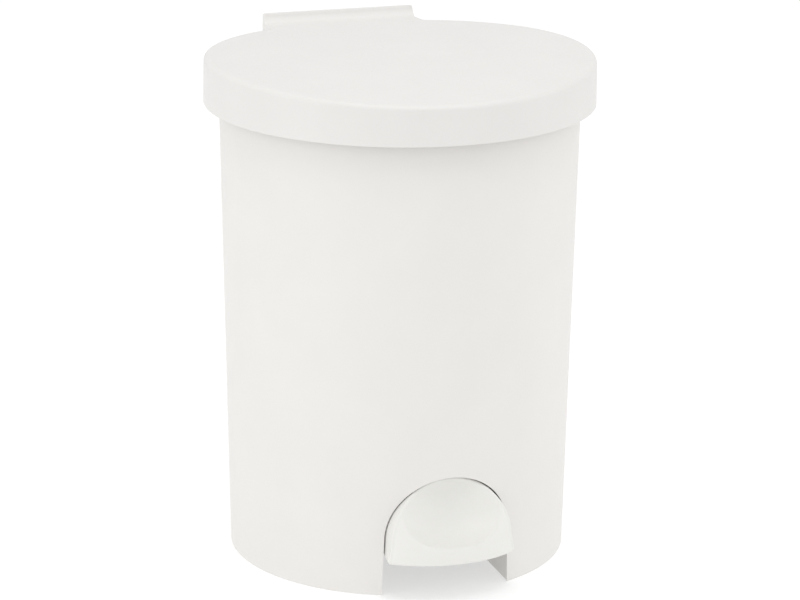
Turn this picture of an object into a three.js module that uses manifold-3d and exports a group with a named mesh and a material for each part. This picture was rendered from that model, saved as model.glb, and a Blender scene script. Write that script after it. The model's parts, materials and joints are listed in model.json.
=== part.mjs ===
// A round plastic pedal bin: a tapered outer body with an arched pedal bay, an arched lid with a
// raised hinge hood, an inner bucket with a wire handle, and the pedal linkage that lifts the lid.
// Millimetres, +Z up. The front (pedal side) faces -Y and the floor is z = 0. Shapes are drawn
// around the body's vertical axis; the finished group is moved so that the middle of the whole
// object's footprint is at x = 0, y = 0.
import * as THREE from 'three';
import { mergeVertices } from 'three/addons/utils/BufferGeometryUtils.js';
import Module from 'manifold-3d';

const wasm = await Module();
wasm.setup();

// ---------------------------------------------------------------- driving dimensions
const GAP = 0.3;                 // between pieces that touch on the real object
const AROUND = 72;               // facets round the large turned shapes
const SMALL_AROUND = 24;         // facets round pins, holes and screws

const BODY_H = 331;              // floor to rim
const BODY_R = 121.4;            // outer radius at the rim
const BODY_TAPER = 6.8;          // how much smaller the radius is at the floor
const BODY_WALL = 2.2;
const RIM_BEAD_OUT = 1.6;        // thickened band round the outside of the rim
const RIM_BEAD_H = 5;
const FOOT_RING_IN = 5.5;        // flat ring that the bin stands on, measured in from the outside
const FOOT_RING_H = 3;
const DECK_T = 2.5;              // floor inside the body that carries the bucket
const DECK_RIB_H = 11;
const DECK_RIB_T = 2;

const OPENING_R = 43;            // arched pedal opening in the front wall
const OPENING_Z = 39;            // height of the arch's centre
const OPENING_FLARE = 1.1;       // how much wider each side is at the floor
const BAY_SIDE_GAP = 1.5;        // the bay behind the opening is this much wider, each side
const BAY_WALL = 2;
const BAY_DEPTH = 74;            // from the front of the body to the open rear end of the bay

const LID_WALL = 2.2;
const SKIRT_CLEAR = 7.4;         // between the body's rim and the inside of the lid's skirt
const SKIRT_DRAFT = 0.3;         // the skirt widens this much towards its lower edge
const LID_HEADROOM = 8.3;        // from the body's rim to the underside of the lid at its crown
const SKIRT_H = 30.8;            // crown to the lower edge of the skirt
const LID_EDGE_R = 3.4;          // rounding between the lid's top and its skirt
const LID_ARCH = 5;              // fall of the top from its middle to its front and back edges

const HINGE_OUT = 12.6;          // hinge axis behind the body's rim
const HINGE_PIN_R = 2;
const HINGE_PIN_MORE = 1;        // pin's ends past the lid's ears
const KNUCKLE_R = 5.4;
const KNUCKLE_CLEAR = 0.67;      // between the body's knuckles and the hood's roof
const LID_OPEN_DEG = 72;
const HOOD_HALF_W = 55;          // raised hood at the back of the lid
const HOOD_BACK = 12;            // hood's rear face behind the hinge axis
const HOOD_WALL = 2.2;
const HOOD_REAR_DROP = 10;       // hood's walls reach this far below the hinge axis
const SKIRT_STEP_OUT = 12;       // skirt stays this short beside the hood, to clear the rim as it swings
const RIDGE_H = 6.4;             // upturned rear lip above the lid's top
const RIDGE_T = 3.2;
const RIDGE_FILLET_R = 8.2;
const RIDGE_ROUND = 0.8;         // softening of the ridge's upper edges

const BODY_LUG_IN = 12.5;        // inner face of a body hinge lug, in from the hood's outer side
const LUG_T = 4.5;
const LUG_H = 20;                // lug's foot below the hinge axis
const HINGE_SIDE_GAP = 0.8;      // sideways play between lugs and ears
const EAR_T = 3.5;

const ROD_R = 2;
const ROD_BACK_GAP = 4.6;        // between the push rod and the inside of the wall at the floor
const ROD_BEND_R = 4.5;
const ROLLER_R = 3.6;
const ROLLER_LEN = 8;
const ROLLER_PLAY = 1.4;         // between the roller and the lid's lug, so neither ever binds
const LIFT_LUG_T = 4;
const LIFT_LUG_EXTRA = 3.6;      // lug reaches this far past the roller's resting place
const LIFT_LUG_CHAMFER = 1.5;
const LIFT_LUG_LEAN = 6;         // front edge leans back this much towards the tip
const LIFT_LUG_WALL_GAP = 0.8;   // rear edge to the inside of the body's wall

const AXLE_BACK = 62.6;          // pedal axle behind the front of the body
const AXLE_Z = 35;
const AXLE_R = 3;
const AXLE_BOSS_R = 7.5;
const AXLE_BOSS_T = 2.5;
const PIN_END = 1.4;             // shafts stand this far out of their clips
const LEVER_W = 18;              // pressed channel, open downwards
const LEVER_T = 1.6;
const LEVER_ABOVE = 7;           // web's top above the lever's centre line
const LEVER_BELOW = 6;           // flange depth below the centre line at the axle
const LEVER_TAIL_BELOW = 4.6;
const LEVER_TAIL = 5.2;          // past the rod's pin
const LEVER_CORNER = 3;
const LEVER_SLOT_FRONT = 1.1;    // the rod's hole is a slot: its bow in front of the middle
const LEVER_SLOT_REAR = 0.3;
const LEVER_PIN_GAP = 0.5;
const LEVER_FORK = 17;           // web is cut away this far in front of the rod's pin
const LEVER_NOSE = 52;           // from the axle forwards
const LEVER_DEEP_HALF = 18;      // flanges keep their full depth this far either side of the axle

const PEDAL_GAP = 1;             // between the pedal and the edge of the opening
const PEDAL_BOTTOM_Z = 27;
const PEDAL_LIP_H = 7;           // upright front edge below the rounded nose
const PEDAL_NOSE_R = 68;         // round nose of the pedal, in plan and from the side
const PEDAL_OUT = 19;            // nose in front of the body's front
const PEDAL_WALL = 2.6;
const PEDAL_SIDE_OUT = 0.4;      // lower corners are this much wider than the arch, at the wall
const PEDAL_FLARE = 0.15;        // and gain this much for each millimetre further forward
const PEDAL_BACK_GAP = 20;       // rear edge of the pedal's cap in front of the axle
const SCOOP_R = 29.4;            // hollow for the toe, seen from the side
const SCOOP_HALF_W = 48;
const SCOOP_FORWARD = 4.8;       // scoop's centre in front of the nose
const SCOOP_UP = 28.4;           // scoop's centre above the arch's centre
const POST_R = 4.6;
const POST_FRONT = 45;           // screw posts in front of the axle, along the lever
const POST_REAR = 30;
const SCREW_R = 1.75;
const SCREW_HEAD_R = 3.6;
const SCREW_HEAD_H = 2.2;
const SCREW_LEN = 15;
const SCREW_PLAY = 0.35;

const CLIP_T = 1.4;              // push-on retaining clips
const CLIP_MORE_R = 2.8;
const CLIP_OFF = 0.5;            // clip to the face that it guards

const GUIDE_HALF_W = 8;          // blocks that keep the push rod upright
const GUIDE_H = 12;
const GUIDE_FRONT = 5;           // from the rod's centre to the block's front face
const GUIDE_RAIL_T = 2;
const GUIDE_RAIL_MORE = 4;       // rails are taller than the block, above and below
const GUIDE_LOW_UP = 36;         // lower block above the deck
const GUIDE_TOP_DOWN = 80;       // upper block below the rim
const ROD_SLOT_DEPTH = 20;       // slot in the deck for the rod, cut through its ribs as well

const BUCKET_RIM_DOWN = 13;      // bucket's rim below the body's rim
const BUCKET_SIDE_GAP = 11.6;    // inside of the body's wall to the bucket's bead, at the rim
const BUCKET_TAPER = 8;
const BUCKET_WALL = 1.8;
const BUCKET_BEAD = 1.6;
const BUCKET_BEAD_H = 5;
const BUCKET_BACK_GAP = 2.4;     // flat back of the bucket's bead to the lid's lug

const BAIL_R = 1.6;
const BAIL_DOWN = 19;            // handle pivots below the bucket's rim
const BAIL_WALL_GAP = 3.4;       // inside of the body's wall to the handle wire
const BAIL_BEND_R = 3.2;
const GRIP_R = 3.5;
const GRIP_WALL_GAP = 0.35;
const GRIP_PLAY = 0.5;           // round the wire, so that the grip turns on it
const GRIP_DEG = 50;             // share of the handle's arc that the grip covers
const EAR_BOSS_R = 5;

const BUFFER_R = 4.5;
const BUFFER_STEM_R = 2.4;
const BUFFER_CAP_H = 2.6;
const BUFFER_ANGLES = { front: 0, left: -72, right: 72 };  // degrees from the front

// ---------------------------------------------------------------- places worked out from them
const degrees = Math.PI / 180;
const bodyR = z => BODY_R - BODY_TAPER * (1 - z / BODY_H);
const bodyInR = z => bodyR(z) - BODY_WALL;
const BODY_FRONT = -bodyR(0);

const BAY_R = OPENING_R + BAY_SIDE_GAP;
const BAY_BACK = BODY_FRONT + BAY_DEPTH;
const DECK_TOP = OPENING_Z + BAY_R + BAY_WALL + DECK_T - GAP;

const LID_IN_R = BODY_R + SKIRT_CLEAR;
const LID_R = LID_IN_R + LID_WALL;
const LID_TOP = BODY_H + LID_HEADROOM + LID_WALL;
const LID_BOTTOM = LID_TOP - SKIRT_H;
const lidFall = y => LID_ARCH * (y / LID_R) ** 2;

const HINGE_Y = BODY_R + HINGE_OUT;
const HINGE_Z = LID_TOP - lidFall(HINGE_Y) - HOOD_WALL - KNUCKLE_CLEAR - KNUCKLE_R;
const HOOD_Y = HINGE_Y + HOOD_BACK;
const RIDGE_TOP = LID_TOP - lidFall(LID_R) + RIDGE_H;
const LUG_X = HOOD_HALF_W - BODY_LUG_IN - LUG_T;
const EAR_X = LUG_X + LUG_T + HINGE_SIDE_GAP;

const ROD_Y = bodyInR(0) - ROD_BACK_GAP - ROD_R;
const ROD_ARM = HINGE_Y - ROD_Y;
const HALF_OPEN = LID_OPEN_DEG / 2 * degrees;
const ROD_HALF_TRAVEL = ROD_ARM * Math.tan(HALF_OPEN);
const ROD_TOP_Z = HINGE_Z - ROD_HALF_TRAVEL;
const ROD_LOW_Z = AXLE_Z - ROD_HALF_TRAVEL;
const ROLLER_X = ROD_BEND_R + 2 * GAP;
const GUIDE_LOW_Z = DECK_TOP + GUIDE_LOW_UP;
const GUIDE_TOP_Z = BODY_H - GUIDE_TOP_DOWN;
const ROLLER_MID_X = ROLLER_X + ROLLER_LEN / 2;

const AXLE_Y = BODY_FRONT + AXLE_BACK;
const LEVER_TILT = Math.atan(ROD_HALF_TRAVEL / (ROD_Y - AXLE_Y));
const LEVER_REACH = (ROD_Y - AXLE_Y) / Math.cos(LEVER_TILT);

const PEDAL_R = OPENING_R - PEDAL_GAP;
const NOSE_Y = BODY_FRONT - PEDAL_OUT;
const OPENING_SIDE_Y = -Math.sqrt(bodyR(PEDAL_BOTTOM_Z) ** 2 - OPENING_R ** 2);
const NOSE_CENTRE_Y = NOSE_Y + PEDAL_NOSE_R;
const PEDAL_BACK = AXLE_Y - PEDAL_BACK_GAP;
const SCOOP_Y = NOSE_Y - SCOOP_FORWARD;
const SCOOP_Z = OPENING_Z + SCOOP_UP;

const BUCKET_TOP = BODY_H - BUCKET_RIM_DOWN;
const BUCKET_FLOOR_Z = DECK_TOP + GAP;
const BEAD_R = bodyInR(BUCKET_TOP) - BUCKET_SIDE_GAP;
const BUCKET_R = BEAD_R - BUCKET_BEAD;
const LUG_SWEEP_R = ROD_ARM / Math.cos(HALF_OPEN) + LIFT_LUG_EXTRA;
const BUCKET_FLAT_Y = HINGE_Y - LUG_SWEEP_R - BUCKET_BACK_GAP - BUCKET_BEAD;
const bucketR = z => BUCKET_R - BUCKET_TAPER * (BUCKET_TOP - z) / (BUCKET_TOP - BUCKET_FLOOR_Z);

const BAIL_Z = BUCKET_TOP - BAIL_DOWN;
const BAIL_RADIUS = bodyInR(BAIL_Z) - BAIL_WALL_GAP - BAIL_R;

// ---------------------------------------------------------------- shape helpers
// Every helper returns a solid. Outlines may be drawn either way round.
const v2 = (a, b) => new THREE.Vector2(a, b);
const v3 = (x, y, z) => new THREE.Vector3(x, y, z);

function toSolid(geometry) {
  const bare = geometry.clone();
  for (const name of Object.keys(bare.attributes)) {
    if (name !== 'position') bare.deleteAttribute(name);
  }
  const merged = mergeVertices(bare, 1e-4);
  const index = Array.from(merged.index.array);
  const triangles = [];
  for (let i = 0; i < index.length; i += 3) {
    const [a, b, c] = index.slice(i, i + 3);
    if (a !== b && b !== c && c !== a) triangles.push(a, b, c);
  }
  const corners = merged.attributes.position.array;
  let volume = 0;
  for (let i = 0; i < triangles.length; i += 3) {
    const [a, b, c] = [0, 1, 2].map(k => v3().fromArray(corners, 3 * triangles[i + k]));
    volume += a.dot(b.cross(c));
  }
  if (volume < 0) triangles.reverse();
  const mesh = new wasm.Mesh({
    numProp: 3,
    vertProperties: new Float32Array(corners),
    triVerts: new Uint32Array(triangles),
  });
  return new wasm.Manifold(mesh);
}

function toGeometry(solid) {
  const { vertProperties, triVerts } = solid.getMesh();
  const geometry = new THREE.BufferGeometry();
  geometry.setAttribute('position', new THREE.BufferAttribute(vertProperties, 3));
  geometry.setIndex(new THREE.BufferAttribute(triVerts, 1));
  const shaded = geometry.toNonIndexed();
  shaded.computeVertexNormals();
  return shaded;
}

const join = (...solids) => solids.reduce((a, b) => a.add(b));
const cut = (solid, ...tools) => tools.reduce((a, b) => a.subtract(b), solid);
const common = (...solids) => solids.reduce((a, b) => a.intersect(b));

function block(x0, x1, y0, y1, z0, z1) {
  const geometry = new THREE.BoxGeometry(x1 - x0, y1 - y0, z1 - z0);
  geometry.translate((x0 + x1) / 2, (y0 + y1) / 2, (z0 + z1) / 2);
  return toSolid(geometry);
}

// Turns [radius, height] points round the vertical line at (0, y).
function turned(points, y = 0, around = AROUND, change = null) {
  const geometry = new THREE.LatheGeometry(points.map(([r, z]) => v2(r, z)), around);
  geometry.rotateX(Math.PI / 2);
  geometry.translate(0, y, 0);
  if (change) change(geometry);
  return toSolid(geometry);
}

function ring(points) {
  return [...points, points[0]];
}

function extruded(outline, depth, steps = 1) {
  const settings = { depth, steps, bevelEnabled: false };
  return new THREE.ExtrudeGeometry(new THREE.Shape(outline), settings);
}

// An outline of [y, z] points, made solid from x0 to x1.
function alongX(outline, x0, x1) {
  const geometry = extruded(outline.map(([y, z]) => v2(y, z)), x1 - x0);
  geometry.applyMatrix4(new THREE.Matrix4().set(0, 0, 1, x0, 1, 0, 0, 0, 0, 1, 0, 0, 0, 0, 0, 1));
  return toSolid(geometry);
}

// An outline of [x, z] points, made solid from y0 to y1.
function alongY(outline, y0, y1, change = null) {
  const geometry = extruded(outline.map(([x, z]) => v2(x, z)), y1 - y0, change ? 8 : 1);
  geometry.applyMatrix4(new THREE.Matrix4().set(1, 0, 0, 0, 0, 0, 1, y0, 0, 1, 0, 0, 0, 0, 0, 1));
  if (change) change(geometry);
  return toSolid(geometry);
}

function cylinderX(radius, x0, x1, y, z, around = SMALL_AROUND) {
  const geometry = new THREE.CylinderGeometry(radius, radius, x1 - x0, around);
  geometry.rotateZ(Math.PI / 2);
  geometry.translate((x0 + x1) / 2, y, z);
  return toSolid(geometry);
}

function cylinderZ(radius, x, y, z0, z1, around = SMALL_AROUND) {
  const geometry = new THREE.CylinderGeometry(radius, radius, z1 - z0, around);
  geometry.rotateX(Math.PI / 2);
  geometry.translate(x, y, (z0 + z1) / 2);
  return toSolid(geometry);
}

// A round bar through points that all lie in the plane square to the normal.
function bar(radius, points, normal, sides) {
  const corners = [];
  points.forEach((point, i) => {
    const into = point.clone().sub(points[Math.max(i - 1, 0)]).normalize();
    const out = points[Math.min(i + 1, points.length - 1)].clone().sub(point).normalize();
    const across = into.add(out).cross(normal).normalize();
    for (const [a, b] of arc([0, 0], radius, 0, 360 - 360 / sides, sides - 1)) {
      corners.push(point.clone().addScaledVector(across, a).addScaledVector(normal, b));
    }
  });
  const index = [];
  for (let k = 0; k < sides; k++) {
    const next = (k + 1) % sides;
    for (let low = 0; low < corners.length - sides; low += sides) {
      index.push(low + k, low + next, low + sides + k, low + sides + k, low + next, low + sides + next);
    }
    if (k > 0 && k < sides - 1) {
      const last = corners.length - sides;
      index.push(0, k + 1, k, last, last + k, last + k + 1);
    }
  }
  return toSolid(new THREE.BufferGeometry().setFromPoints(corners).setIndex(index));
}

// Points on an arc, in degrees, from the first angle to the last.
function arc(centre, radius, from, to, steps) {
  const points = [];
  for (let i = 0; i <= steps; i++) {
    const turn = (from + (to - from) * i / steps) * degrees;
    points.push([centre[0] + radius * Math.cos(turn), centre[1] + radius * Math.sin(turn)]);
  }
  return points;
}

function mirrored(solid) {
  return solid.mirror([1, 0, 0]);
}

// From the lever's own frame, centred on the axle and lying along it, to its resting place.
function atLever(solid) {
  return solid.rotate([-LEVER_TILT / degrees, 0, 0]).translate([0, AXLE_Y, AXLE_Z]);
}

// ---------------------------------------------------------------- outer body
function cone(inset, z0, z1) {
  return turned([[0, z0], [bodyR(z0) - inset, z0], [bodyR(z1) - inset, z1], [0, z1]]);
}

// Front-view outline of an arch: a half circle on straight sides.
function archOutline(radius, centreZ, bottomZ, flare = 0) {
  return [[-radius - flare, bottomZ], ...arc([0, centreZ], radius, 180, 0, 32), [radius + flare, bottomZ]];
}

function bodyShell() {
  const deckLow = DECK_TOP - DECK_T;
  const beadZ = BODY_H - RIM_BEAD_H;
  return turned([
    [0, deckLow],
    [bodyInR(deckLow), deckLow],
    [bodyInR(FOOT_RING_H), FOOT_RING_H],
    [bodyR(0) - FOOT_RING_IN, FOOT_RING_H],
    [bodyR(0) - FOOT_RING_IN, 0],
    [bodyR(0), 0],
    [bodyR(beadZ), beadZ],
    [BODY_R + RIM_BEAD_OUT, beadZ + RIM_BEAD_OUT],
    [BODY_R + RIM_BEAD_OUT, BODY_H],
    [bodyInR(BODY_H), BODY_H],
    [bodyInR(DECK_TOP), DECK_TOP],
    [0, DECK_TOP],
  ]);
}

function hingeLug() {
  const wallY = bodyInR(BODY_H) - KNUCKLE_R * 2;
  const outline = [
    [wallY, HINGE_Z + KNUCKLE_R],
    ...arc([HINGE_Y, HINGE_Z], KNUCKLE_R, 90, -100, 14),
    [BODY_R - KNUCKLE_R, HINGE_Z - LUG_H],
    [wallY, HINGE_Z - LUG_H],
  ];
  return cut(alongX(outline, LUG_X, LUG_X + LUG_T), cone(BODY_WALL / 2, -1, BODY_H + KNUCKLE_R * 2));
}

function guideRails() {
  const inX = GUIDE_HALF_W + GAP;
  const front = ROD_Y - GUIDE_FRONT / 2;
  return [GUIDE_LOW_Z, GUIDE_TOP_Z].map(z => {
    const low = z - GUIDE_RAIL_MORE;
    const high = z + GUIDE_H + GUIDE_RAIL_MORE;
    const rail = block(inX, inX + GUIDE_RAIL_T, front, BODY_R, low, high);
    const shelf = block(-inX, inX, ROD_Y + 2 * ROD_R, BODY_R, low, z - GAP);
    return common(join(rail, mirrored(rail), shelf), cone(BODY_WALL / 2, 0, BODY_H));
  });
}

function deckRibs() {
  const low = DECK_TOP - DECK_T - DECK_RIB_H;
  const reach = BODY_R;
  const across = block(-reach, reach, -DECK_RIB_T / 2, DECK_RIB_T / 2, low, DECK_TOP - DECK_T / 2);
  const ribs = [-60, 0, 60].map(turn => across.rotate([0, 0, turn]));
  return common(join(...ribs), cone(BODY_WALL / 2, 0, BODY_H));
}

function outerBody() {
  const inside = cone(BODY_WALL, -1, BODY_H);
  const bay = alongY(archOutline(BAY_R + BAY_WALL, OPENING_Z, 0), -BODY_R, BAY_BACK);
  const bayInside = alongY(archOutline(BAY_R, OPENING_Z, -1), -BODY_R, BAY_BACK + 1);
  const openTo = BODY_FRONT + BAY_DEPTH / 2;
  const opening = alongY(archOutline(OPENING_R, OPENING_Z, -1, OPENING_FLARE), -BODY_R, openTo);
  const bossX = BAY_R + BAY_WALL;
  const boss = cylinderX(AXLE_BOSS_R, bossX - BAY_WALL / 2, bossX + AXLE_BOSS_T, AXLE_Y, AXLE_Z);
  const pinHole = cylinderX(HINGE_PIN_R + GAP, -HOOD_HALF_W, HOOD_HALF_W, HINGE_Y, HINGE_Z);
  const axleHole = cylinderX(AXLE_R + GAP, -BODY_R / 2, BODY_R / 2, AXLE_Y, AXLE_Z);
  const slotRight = GUIDE_HALF_W + ROLLER_LEN;
  const slotFront = ROD_Y - GUIDE_FRONT - ROD_R;
  const rodSlot = common(
    block(-GUIDE_HALF_W, slotRight, slotFront, BODY_R, DECK_TOP - ROD_SLOT_DEPTH, DECK_TOP + 1), inside);
  const bayWalls = common(bay, cone(BODY_WALL / 2, 0, BODY_H));
  const walls = join(bodyShell(), deckRibs(), bayWalls, boss, mirrored(boss));
  const opened = cut(walls, common(bayInside, inside), opening, axleHole, rodSlot);
  const lug = hingeLug();
  return cut(join(opened, ...guideRails(), lug, mirrored(lug)), pinHole);
}

// ---------------------------------------------------------------- lid
// The top falls towards the front and back edges; the skirt's lower edge stays level.
function arched(geometry) {
  const place = geometry.attributes.position;
  for (let i = 0; i < place.count; i++) {
    const share = THREE.MathUtils.clamp((place.getZ(i) - LID_BOTTOM) / SKIRT_H, 0, 1);
    place.setZ(i, place.getZ(i) - share * lidFall(place.getY(i)));
  }
}

// Flat spans are divided so that the arch can bend them.
function divided(from, to, parts) {
  return Array.from({ length: parts }, (_, i) => {
    const share = i / parts;
    return [from[0] + (to[0] - from[0]) * share, from[1] + (to[1] - from[1]) * share];
  });
}

function lidProfile(inset) {
  const edge = LID_EDGE_R - inset;
  const top = LID_TOP - inset;
  const corner = arc([LID_R - LID_EDGE_R, LID_TOP - LID_EDGE_R], edge, 90, 0, 4);
  return [...divided([0, top], [LID_R - LID_EDGE_R, top], 5), ...corner];
}

function lidSolid() {
  const bottom = [LID_R + SKIRT_DRAFT, LID_BOTTOM];
  return turned([...lidProfile(0), bottom, [0, LID_BOTTOM]], 0, AROUND, arched);
}

function lidInside() {
  const bottom = [LID_IN_R + SKIRT_DRAFT, LID_BOTTOM];
  return join(
    turned([...lidProfile(LID_WALL), bottom, [0, LID_BOTTOM]], 0, AROUND, arched),
    cone(-SKIRT_CLEAR - SKIRT_DRAFT - BODY_TAPER * SKIRT_H / BODY_H, LID_BOTTOM - 5, LID_BOTTOM + 0.01));
}

// Side outline of the hood, offset inwards by inset: the lid's arch, then a hollow curve up to the ridge.
function hoodOutline(inset, bottomZ) {
  const rear = HOOD_Y - inset;
  const ridgeFront = HOOD_Y - RIDGE_T;
  const filletY = ridgeFront - RIDGE_FILLET_R;
  const start = LID_R * 0.7;
  const points = [];
  for (let i = 0; i < 8; i++) {
    const y = start + (filletY - start) * i / 8;
    points.push([y, LID_TOP - lidFall(y) - inset]);
  }
  const floor = LID_TOP - lidFall(filletY);
  if (inset > 0) {
    points.push([filletY, floor - inset], [rear, floor - inset]);
  } else {
    const sweep = Math.acos(1 - (RIDGE_H - RIDGE_ROUND) / RIDGE_FILLET_R) / degrees;
    points.push(...arc([filletY, floor + RIDGE_FILLET_R], RIDGE_FILLET_R, -90, -90 + sweep, 8));
    points.push([ridgeFront + RIDGE_ROUND / 2, RIDGE_TOP]);
    points.push([rear - RIDGE_ROUND, RIDGE_TOP], [rear, RIDGE_TOP - RIDGE_ROUND]);
  }
  points.push([rear, bottomZ], [start, bottomZ]);
  return points;
}

function ear() {
  const outline = [
    ...arc([HINGE_Y, HINGE_Z], KNUCKLE_R, -180, 0, 12),
    [HINGE_Y + KNUCKLE_R, LID_TOP],
    [HINGE_Y - KNUCKLE_R, LID_TOP],
  ];
  return alongX(outline, EAR_X, EAR_X + EAR_T);
}

// The plate that the push rod's roller lifts. Its lower edge points at the hinge axis.
function liftLug() {
  const along = d => [-d * Math.cos(HALF_OPEN), -d * Math.sin(HALF_OPEN)];
  const up = ROLLER_R + ROLLER_PLAY;
  const edge = d => [
    HINGE_Y + along(d)[0] - up * Math.sin(HALF_OPEN),
    HINGE_Z + along(d)[1] + up * Math.cos(HALF_OPEN),
  ];
  const restAt = ROD_ARM / Math.cos(HALF_OPEN);
  const rear = bodyInR(BODY_H);
  const nearD = (HINGE_Y - rear - up * Math.sin(HALF_OPEN)) / Math.cos(HALF_OPEN);
  const tip = edge(restAt + LIFT_LUG_EXTRA);
  const front = [tip[0] - LIFT_LUG_CHAMFER, tip[1] + 2 * LIFT_LUG_CHAMFER];
  const outline = [[rear, LID_TOP], edge(nearD), tip, front, [tip[0] - LIFT_LUG_LEAN, LID_TOP]];
  const plate = alongX(outline, ROLLER_MID_X - LIFT_LUG_T / 2, ROLLER_MID_X + LIFT_LUG_T / 2);
  return common(plate, cone(BODY_WALL + LIFT_LUG_WALL_GAP, 0, LID_TOP));
}

function lid() {
  const full = lidSolid();
  const hood = alongX(hoodOutline(0, LID_BOTTOM), -HOOD_HALF_W, HOOD_HALF_W);
  const innerX = HOOD_HALF_W - HOOD_WALL;
  const hoodInside = alongX(hoodOutline(HOOD_WALL, LID_BOTTOM - 1), -innerX, innerX);
  const stepX = HOOD_HALF_W + SKIRT_STEP_OUT;
  const step = block(-stepX, stepX, BODY_R / 2, HOOD_Y + 1, LID_BOTTOM - 1, HINGE_Z - HOOD_REAR_DROP);
  const roofed = join(full, hood);
  const shell = cut(roofed, lidInside(), hoodInside, step);
  const fittings = common(join(ear(), mirrored(ear()), liftLug()), roofed);
  const pinHole = cylinderX(HINGE_PIN_R + GAP, -innerX, innerX, HINGE_Y, HINGE_Z);
  return cut(join(shell, fittings), pinHole);
}

function bufferPlace(name) {
  const turn = (-90 + BUFFER_ANGLES[name]) * degrees;
  const radius = BODY_R - BODY_WALL / 2;
  const [x, y] = [radius * Math.cos(turn), radius * Math.sin(turn)];
  const lowestRoof = LID_TOP - LID_WALL - lidFall(Math.abs(y) + BUFFER_R);
  return { x, y, top: lowestRoof - GAP };
}

function lidBuffer(name) {
  const { x, y, top } = bufferPlace(name);
  const capLow = top - BUFFER_CAP_H;
  return join(
    cylinderZ(BUFFER_R, x, y, capLow, top),
    cylinderZ(BUFFER_STEM_R, x, y, BODY_H + GAP, top - GAP));
}

// ---------------------------------------------------------------- pins and clips
const HINGE_PIN_HALF = EAR_X + EAR_T + HINGE_PIN_MORE;
const AXLE_CLIP_X = BAY_R + BAY_WALL + AXLE_BOSS_T + CLIP_OFF;
const AXLE_HALF = AXLE_CLIP_X + CLIP_T + PIN_END;
const LOW_CLIP_X = LEVER_W / 2 + CLIP_OFF;
const TOP_CLIP_X = ROLLER_X + ROLLER_LEN + CLIP_OFF;

function clipX(pinRadius, x, y, z) {
  return cut(
    cylinderX(pinRadius + CLIP_MORE_R, x, x + CLIP_T, y, z),
    cylinderX(pinRadius + GAP, x - 1, x + CLIP_T + 1, y, z));
}

// Straight, with its lower end turned in through the lever and its upper end through the roller.
function pushRod() {
  const outline = [
    [LOW_CLIP_X + CLIP_T + PIN_END, ROD_LOW_Z],
    ...arc([ROD_BEND_R, ROD_LOW_Z + ROD_BEND_R], ROD_BEND_R, 270, 180, 5),
    ...arc([ROD_BEND_R, ROD_TOP_Z - ROD_BEND_R], ROD_BEND_R, 180, 90, 5),
    [TOP_CLIP_X + CLIP_T + PIN_END, ROD_TOP_Z],
  ];
  return bar(ROD_R, outline.map(([x, z]) => v3(x, ROD_Y, z)), v3(0, 1, 0), 16);
}

function rodRoller() {
  return cut(
    cylinderX(ROLLER_R, ROLLER_X + GAP, ROLLER_X + ROLLER_LEN, ROD_Y, ROD_TOP_Z),
    cylinderX(ROD_R + GAP, 0, ROLLER_X + ROLLER_LEN + 2, ROD_Y, ROD_TOP_Z));
}

function rodGuide(z) {
  const room = common(
    block(-GUIDE_HALF_W, GUIDE_HALF_W, ROD_Y - GUIDE_FRONT, BODY_R, z, z + GUIDE_H),
    cone(BODY_WALL + GAP, 0, BODY_H));
  return cut(room, cylinderZ(ROD_R + GAP, 0, ROD_Y, z - 1, z + GUIDE_H + 1));
}

// ---------------------------------------------------------------- pedal and its lever
function leverPinSlot() {
  const front = LEVER_REACH - LEVER_SLOT_FRONT;
  const rear = LEVER_REACH + LEVER_SLOT_REAR;
  const half = ROD_R + LEVER_PIN_GAP;
  return join(
    cylinderX(half, -LEVER_W, LEVER_W, front, 0),
    cylinderX(half, -LEVER_W, LEVER_W, rear, 0),
    block(-LEVER_W, LEVER_W, front, rear, -half + 0.1, half - 0.1));
}

function pedalLever() {
  const tail = LEVER_REACH + LEVER_TAIL;
  const half = LEVER_W / 2;
  const side = [
    [-LEVER_NOSE, LEVER_ABOVE], [tail - LEVER_CORNER, LEVER_ABOVE], [tail, LEVER_ABOVE - LEVER_CORNER],
    [tail, LEVER_CORNER - LEVER_TAIL_BELOW], [tail - LEVER_CORNER, -LEVER_TAIL_BELOW],
    [LEVER_DEEP_HALF, -LEVER_BELOW], [-LEVER_DEEP_HALF, -LEVER_BELOW],
    [-LEVER_NOSE, LEVER_ABOVE - 3 * LEVER_T],
  ];
  const inX = half - LEVER_T;
  const channel = cut(
    alongX(side, -half, half),
    block(-inX, inX, -2 * LEVER_NOSE, 2 * tail, -2 * LEVER_BELOW, LEVER_ABOVE - LEVER_T),
    block(-inX, inX, LEVER_REACH - LEVER_FORK, 2 * tail, 0, 2 * LEVER_ABOVE),
    cylinderX(AXLE_R + GAP, -LEVER_W, LEVER_W, 0, 0),
    leverPinSlot(),
    ...[POST_FRONT, POST_REAR].map(d => cylinderZ(SCREW_R + SCREW_PLAY, 0, -d, 0, 2 * LEVER_ABOVE)));
  return atLever(channel);
}

function pedalScrew(distance) {
  const seat = LEVER_ABOVE - LEVER_T - GAP;
  return atLever(join(
    cylinderZ(SCREW_HEAD_R, 0, -distance, seat - SCREW_HEAD_H, seat),
    cylinderZ(SCREW_R, 0, -distance, seat - SCREW_HEAD_H / 2, seat + SCREW_LEN)));
}

// Round nose: an upright lip, then a dome, about a vertical line through the nose's centre.
function nose(inset) {
  const lipTop = PEDAL_BOTTOM_Z + PEDAL_LIP_H;
  const radius = PEDAL_NOSE_R - inset;
  return turned(
    [[0, 0], [radius, 0], ...arc([0, lipTop], radius, 0, 90, 14)], NOSE_CENTRE_Y, 56);
}

function scoop(grow) {
  const geometry = new THREE.SphereGeometry(1, 36, 24);
  geometry.scale(SCOOP_HALF_W + grow, SCOOP_R + grow, SCOOP_R + grow);
  geometry.translate(0, SCOOP_Y, SCOOP_Z);
  return toSolid(geometry);
}

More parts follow.
